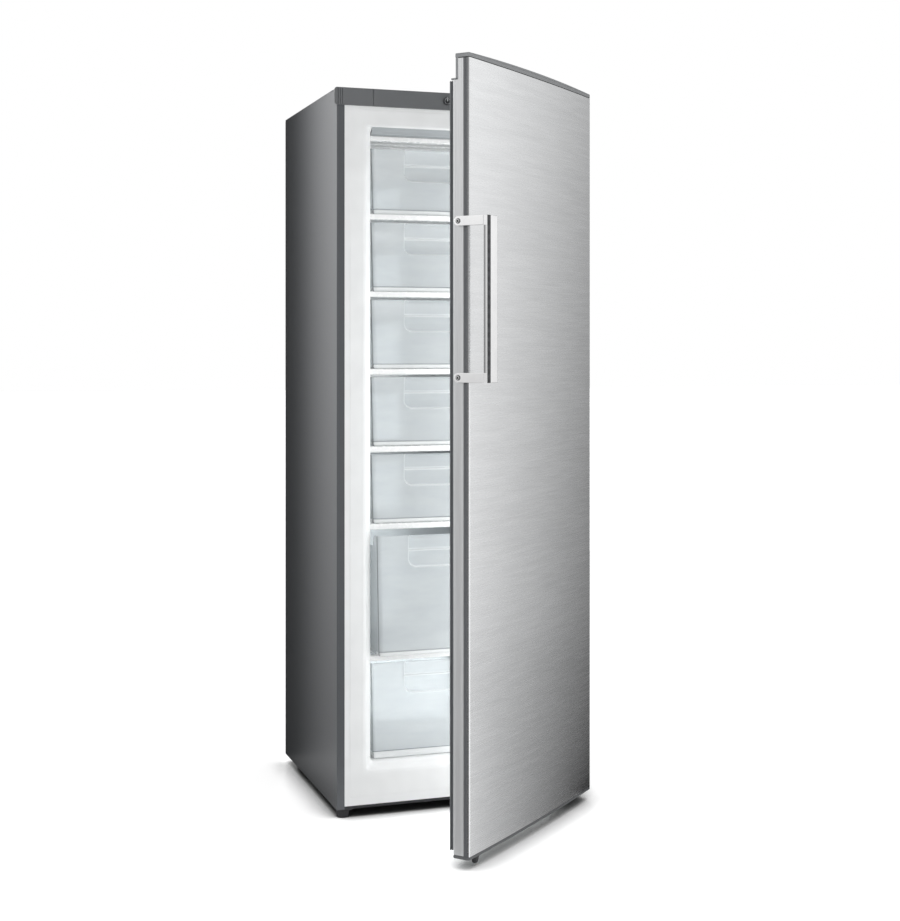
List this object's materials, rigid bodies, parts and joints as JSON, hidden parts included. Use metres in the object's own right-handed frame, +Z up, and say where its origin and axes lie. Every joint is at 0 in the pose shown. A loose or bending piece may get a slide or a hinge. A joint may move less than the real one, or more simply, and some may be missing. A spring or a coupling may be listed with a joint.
{
  "type": "upright freezer",
  "caption": "Tall free-standing freezer with clear pull-out drawers behind one steel door, hinged on the right and standing ajar, with a bar handle.",
  "frame": {"origin": "middle of the rest-pose bounding box, at floor level", "axes": "+Z up, +Y towards the cabinet's back, +X towards the hinge side, the right as one faces the door"},
  "size_m": [0.6146, 1.0054, 1.674],
  "materials": {
    "painted_grey": "satin",
    "plain_steel": "satin",
    "foam": "matte",
    "white_plastic": "satin",
    "white_enamel": "satin",
    "grey_plastic": "satin",
    "cap_plastic": "satin",
    "black_plastic": "matte",
    "black_steel": "satin",
    "clear_plastic": "gloss",
    "copper": "satin",
    "brushed_steel": "satin",
    "gasket_rubber": "matte",
    "silver_profile": "satin",
    "dark_strip": "satin",
    "polished_metal": "polished",
    "handle_inlay": "matte"
  },
  "bodies": {
    "cabinet": {"side_panel_left": "painted_grey", "side_panel_right": "painted_grey", "top_panel": "painted_grey", "back_panel": "plain_steel", "inner_liner": "white_plastic", "insulation_foam": "foam", "insulation_foam_base": "foam", "base_pan": "black_plastic", "rear_foot_left": "black_plastic", "rear_foot_right": "black_plastic", "top_hinge_bracket": "plain_steel", "bottom_hinge_bracket": "black_steel", "left_foot_plate": "black_plastic", "top_hinge_cover": "grey_plastic", "top_trim": "grey_plastic", "thermostat_body": "black_plastic", "evaporator_shelf_6": "white_enamel", "evaporator_shelf_5": "white_enamel", "evaporator_shelf_4": "white_enamel", "evaporator_shelf_3": "white_enamel", "evaporator_shelf_2": "white_enamel", "evaporator_shelf_1": "white_enamel", "evaporator_top": "white_enamel", "ceiling_strip": "grey_plastic", "compressor_base": "plain_steel", "compressor": "black_steel", "terminal_box": "black_plastic", "drip_tray": "black_plastic", "discharge_tube": "copper", "suction_tube": "copper", "filter_drier": "copper"},
    "door": {"door_front_skin": "brushed_steel", "door_foam_core": "foam", "door_inner_panel": "white_plastic", "door_gasket": "gasket_rubber", "door_side_profile_free": "silver_profile", "door_side_strip_free": "dark_strip", "door_side_profile_hinge": "silver_profile", "door_side_strip_hinge": "dark_strip", "door_top_cap": "cap_plastic", "door_bottom_cap": "cap_plastic", "door_corner_stop": "black_plastic", "door_bush_top": "black_plastic", "door_bush_bottom": "black_plastic", "handle_bar": "polished_metal", "handle_inlay": "handle_inlay", "handle_arm_top": "polished_metal", "handle_screw_top": "polished_metal", "handle_arm_bottom": "polished_metal", "handle_screw_bottom": "polished_metal"},
    "dial": {"thermostat_dial": "grey_plastic"},
    "levelling_foot_left": {"front_foot_left": "black_plastic"},
    "levelling_foot_right": {"front_foot_right": "black_plastic"},
    "drawer_1_body": {"drawer_1": "clear_plastic"},
    "drawer_2_body": {"drawer_2": "clear_plastic"},
    "drawer_3_body": {"drawer_3": "clear_plastic"},
    "drawer_4_body": {"drawer_4": "clear_plastic"},
    "drawer_5_body": {"drawer_5": "clear_plastic"},
    "drawer_6_body": {"drawer_6": "clear_plastic"},
    "drawer_7_body": {"drawer_7": "clear_plastic"}
  },
  "joints": [
    {"name": "door_hinge", "type": "hinge", "parent": "cabinet", "child": "door", "pos_m": [0.28668, -0.05527, 0.84], "axis": [0, 0, 1], "range_deg": [-42, 68]},
    {"name": "dial_turn", "type": "hinge", "parent": "cabinet", "child": "dial", "pos_m": [-0.03932, -0.03127, 1.64], "axis": [0, -1, 0], "range_deg": [0, 270]},
    {"name": "foot_left_turn", "type": "hinge", "parent": "cabinet", "child": "levelling_foot_left", "pos_m": [-0.28332, -0.00927, 0], "axis": [0, 0, 1], "range_deg": [-180, 180]},
    {"name": "foot_right_turn", "type": "hinge", "parent": "cabinet", "child": "levelling_foot_right", "pos_m": [0.28068, -0.00927, 0], "axis": [0, 0, 1], "range_deg": [-180, 180]},
    {"name": "drawer_1_slide", "type": "slide", "parent": "cabinet", "child": "drawer_1_body", "axis": [0, -1, 0], "range_m": [0, 0.09]},
    {"name": "drawer_2_slide", "type": "slide", "parent": "cabinet", "child": "drawer_2_body", "axis": [0, -1, 0], "range_m": [0, 0.09]},
    {"name": "drawer_3_slide", "type": "slide", "parent": "cabinet", "child": "drawer_3_body", "axis": [0, -1, 0], "range_m": [0, 0.09]},
    {"name": "drawer_4_slide", "type": "slide", "parent": "cabinet", "child": "drawer_4_body", "axis": [0, -1, 0], "range_m": [0, 0.09]},
    {"name": "drawer_5_slide", "type": "slide", "parent": "cabinet", "child": "drawer_5_body", "axis": [0, -1, 0], "range_m": [0, 0.09]},
    {"name": "drawer_6_slide", "type": "slide", "parent": "cabinet", "child": "drawer_6_body", "axis": [0, -1, 0], "range_m": [-0.033, 0.055]},
    {"name": "drawer_7_slide", "type": "slide", "parent": "cabinet", "child": "drawer_7_body", "axis": [0, -1, 0], "range_m": [0, 0.09]}
  ]
}
